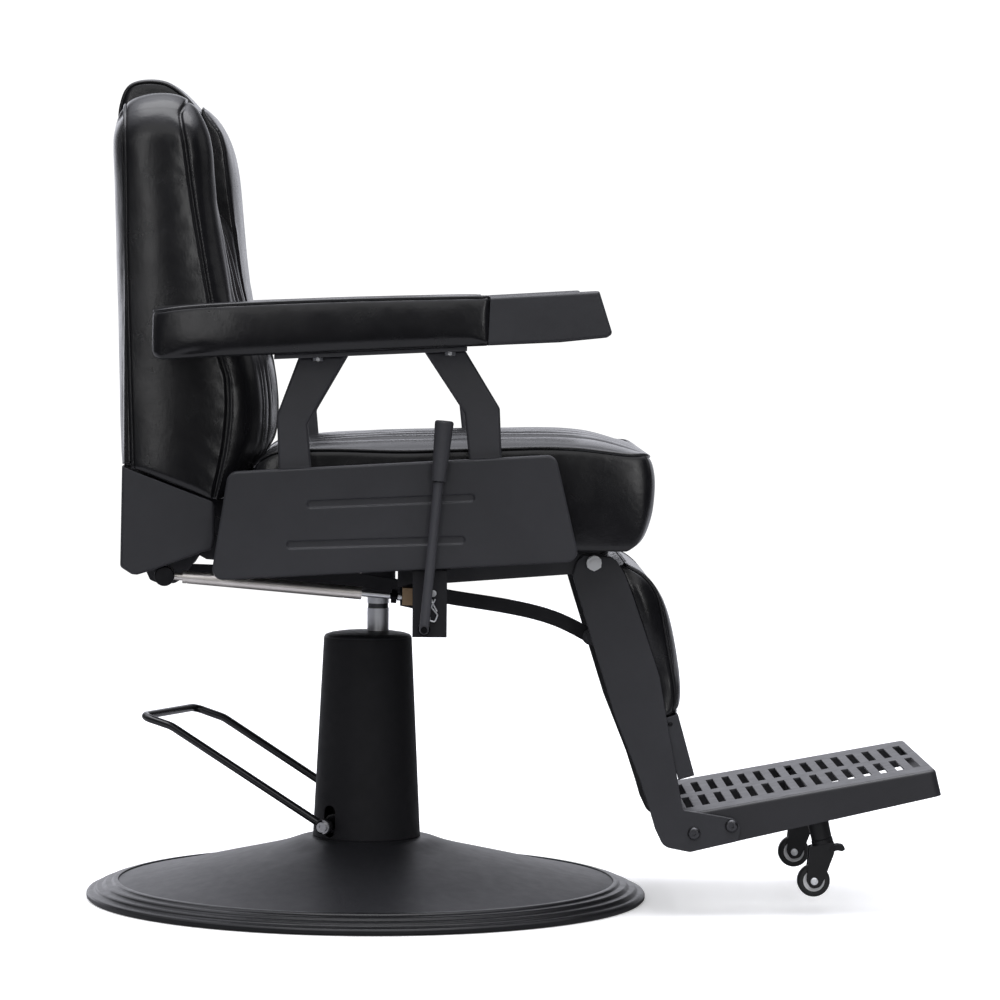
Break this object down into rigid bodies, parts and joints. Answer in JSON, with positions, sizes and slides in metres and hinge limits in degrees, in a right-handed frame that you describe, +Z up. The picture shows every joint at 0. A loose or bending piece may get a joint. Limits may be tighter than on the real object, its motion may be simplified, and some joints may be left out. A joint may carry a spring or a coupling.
{
  "type": "barber chair",
  "caption": "Reclining barber chair on a round pump base: padded seat, back, headrest and arms, foot pedal, release lever, and a slotted footrest on small casters that rises with the recline.",
  "frame": {"origin": "centre of the round base on the floor", "axes": "+X forward, towards the footrest; +Y to the sitter's left; +Z up"},
  "size_m": [1.0519, 0.7, 1.0126],
  "materials": {
    "black_paint": "satin",
    "gloss_trim": "gloss",
    "cast_base": "matte",
    "chrome": "polished",
    "zinc_steel": "satin",
    "brass": "satin",
    "leather": "satin",
    "black_plastic": "satin",
    "grip_rubber": "satin",
    "plywood": "matte",
    "tyre_rubber": "matte",
    "hub_plastic": "satin"
  },
  "bodies": {
    "base": {"base_plate": "cast_base", "base_dome": "black_paint", "base_rim": "gloss_trim", "pump_body": "cast_base", "pedal_bushes": "brass", "pump_bolts": "zinc_steel", "pump_cover": "black_paint", "pump_cap": "black_plastic"},
    "pedal": {"pedal_loop": "black_paint", "pedal_shaft": "zinc_steel"},
    "plunger": {"pump_plunger": "zinc_steel"},
    "piston": {"piston_rod": "chrome"},
    "seat": {"swivel_socket": "black_paint", "seat_frame": "black_paint", "seat_board": "plywood", "footrest_hangers": "black_paint", "seat_cushion": "leather", "side_panel_right": "black_paint", "side_panel_left": "black_paint", "arm_frame_right": "black_paint", "arm_frame_left": "black_paint", "armrest_pad_right": "leather", "armrest_pad_left": "leather", "armrest_cap_right": "black_plastic", "armrest_cap_left": "black_plastic", "seat_bolts": "zinc_steel", "back_hinge_brackets": "black_paint", "release_bracket": "black_paint", "release_pins": "zinc_steel"},
    "backrest": {"back_arms": "black_paint", "back_pins": "zinc_steel", "back_skirt": "black_paint", "back_panel": "leather", "back_cushion": "leather", "headrest_guide": "black_paint"},
    "headrest": {"headrest_bar": "zinc_steel", "headrest_cushion": "leather"},
    "strut_tube": {"strut_cylinder": "zinc_steel"},
    "strut_piston": {"strut_rod": "zinc_steel", "strut_block": "brass"},
    "lever": {"lever_rod": "black_paint", "lever_grip": "grip_rubber"},
    "footrest": {"footrest_leg_right": "black_paint", "footrest_leg_left": "black_paint", "calf_board": "plywood", "calf_pad": "leather", "footrest_front_cover": "black_paint", "footrest_clevis": "black_paint", "footplate": "black_paint", "footrest_fasteners": "zinc_steel", "caster_sockets": "black_paint"},
    "link": {"footrest_link": "black_paint"},
    "caster_right": {"caster_fork_right": "black_paint"},
    "caster_left": {"caster_fork_left": "black_paint"},
    "wheel_right": {"caster_tyre_right": "tyre_rubber", "caster_hub_right": "hub_plastic"},
    "wheel_left": {"caster_tyre_left": "tyre_rubber", "caster_hub_left": "hub_plastic"},
    "brake_right": {"caster_brake_right": "black_paint"},
    "brake_left": {"caster_brake_left": "black_paint"}
  },
  "joints": [
    {"name": "seat_lift", "type": "slide", "parent": "base", "child": "piston", "axis": [0, 0, 1], "range_m": [0, 0.16]},
    {"name": "seat_swivel", "type": "hinge", "parent": "piston", "child": "seat", "pos_m": [0.0125, 0, 0.4], "axis": [0, 0, 1], "continuous": true},
    {"name": "pedal", "type": "hinge", "parent": "base", "child": "pedal", "pos_m": [-0.0254, 0.0092, 0.0945], "axis": [-0.342, -0.9397, 0], "range_deg": [0, 25], "stiffness_Nm_per_rad": 12, "springref_deg": -25.78},
    {"name": "plunger", "type": "slide", "parent": "base", "child": "plunger", "axis": [0, 0, 1], "range_m": [0, 0.0055]},
    {"name": "recline", "type": "hinge", "parent": "seat", "child": "backrest", "pos_m": [-0.214, 0, 0.456], "axis": [0, -1, 0], "range_deg": [0, 40]},
    {"name": "headrest_height", "type": "slide", "parent": "backrest", "child": "headrest", "axis": [-0.031, 0, 0.9995], "range_m": [0, 0.1]},
    {"name": "strut_tilt", "type": "hinge", "parent": "backrest", "child": "strut_tube", "pos_m": [-0.2426, -0.215, 0.4155], "axis": [0, -1, 0], "range_deg": [-38.4, 0]},
    {"name": "strut_slide", "type": "slide", "parent": "strut_tube", "child": "strut_piston", "axis": [0.9964, 0, -0.0846], "range_m": [-0.0332, 0]},
    {"name": "footrest", "type": "hinge", "parent": "seat", "child": "footrest", "pos_m": [0.2748, 0, 0.4318], "axis": [0, -1, 0], "range_deg": [0, 21.5]},
    {"name": "footrest_link", "type": "hinge", "parent": "footrest", "child": "link", "pos_m": [0.274, -0.12, 0.338], "axis": [0, -1, 0], "range_deg": [-19.8, 0]},
    {"name": "release_lever", "type": "hinge", "parent": "seat", "child": "lever", "pos_m": [0.0688, -0.302, 0.3586], "axis": [0, -1, 0], "range_deg": [0, 18], "stiffness_Nm_per_rad": 2, "springref_deg": -14.32},
    {"name": "caster_swivel_right", "type": "hinge", "parent": "footrest", "child": "caster_right", "pos_m": [0.55987, -0.14, 0.08979], "axis": [-0.2275, 0, 0.9738], "continuous": true},
    {"name": "wheel_right", "type": "hinge", "parent": "caster_right", "child": "wheel_right", "pos_m": [0.54959, -0.14, 0.04148], "axis": [0, 1, 0], "continuous": true},
    {"name": "brake_right", "type": "hinge", "parent": "caster_right", "child": "brake_right", "pos_m": [0.57017, -0.14, 0.0809], "axis": [0, 1, 0], "range_deg": [0, 10]},
    {"name": "caster_swivel_left", "type": "hinge", "parent": "footrest", "child": "caster_left", "pos_m": [0.55987, 0.14, 0.08979], "axis": [-0.2275, 0, 0.9738], "continuous": true},
    {"name": "wheel_left", "type": "hinge", "parent": "caster_left", "child": "wheel_left", "pos_m": [0.54959, 0.14, 0.04148], "axis": [0, 1, 0], "continuous": true},
    {"name": "brake_left", "type": "hinge", "parent": "caster_left", "child": "brake_left", "pos_m": [0.57017, 0.14, 0.0809], "axis": [0, 1, 0], "range_deg": [0, 10]}
  ],
  "couplings": [
    {"joint": "plunger", "follows": "pedal", "m_per_rad": 0.012},
    {"joint": "strut_tilt", "follows": "recline", "ratio": -0.95622},
    {"joint": "strut_slide", "follows": "recline", "m_per_rad": -0.04712},
    {"joint": "footrest", "follows": "recline", "ratio": 0.5342},
    {"joint": "footrest_link", "follows": "recline", "ratio": -0.48993}
  ]
}
